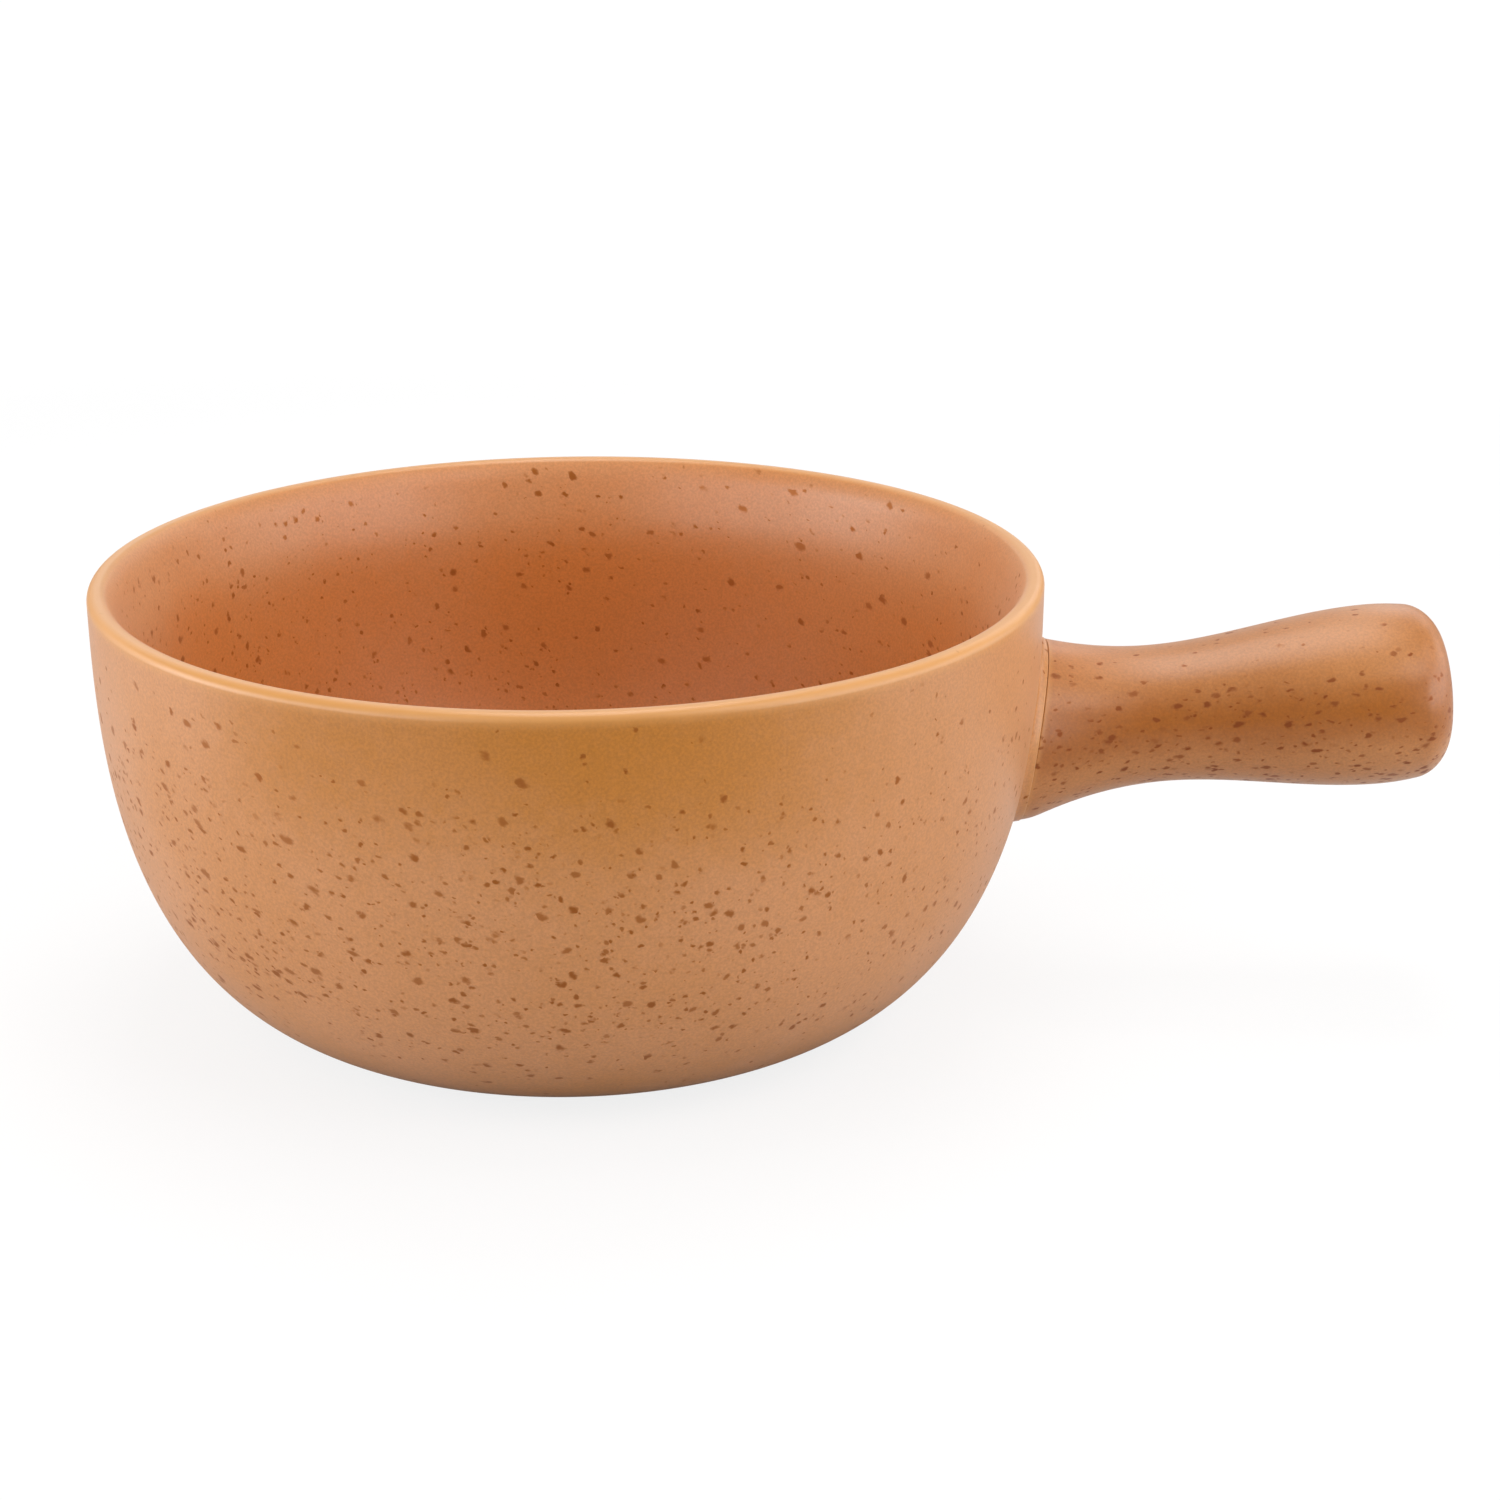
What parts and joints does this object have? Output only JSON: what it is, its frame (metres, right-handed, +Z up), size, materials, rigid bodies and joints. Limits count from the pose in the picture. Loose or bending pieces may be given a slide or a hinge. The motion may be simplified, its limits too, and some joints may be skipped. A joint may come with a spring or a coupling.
{
  "type": "fondue pot",
  "caption": "Round stoneware fondue pot with a rounded lip, a flat base and a hollow club-shaped side handle, in speckled satin glaze.",
  "frame": {"origin": "centre of the bowl's flat base, on the surface that the pot stands on", "axes": "+Z up along the bowl's axis, +X out along the handle"},
  "size_m": [0.332, 0.231, 0.11],
  "materials": {
    "speckled_glaze": "satin",
    "slip_glaze": "satin"
  },
  "bodies": {
    "root": {"bowl": "speckled_glaze", "handle": "speckled_glaze", "luting_slip": "slip_glaze"}
  },
  "joints": []
}
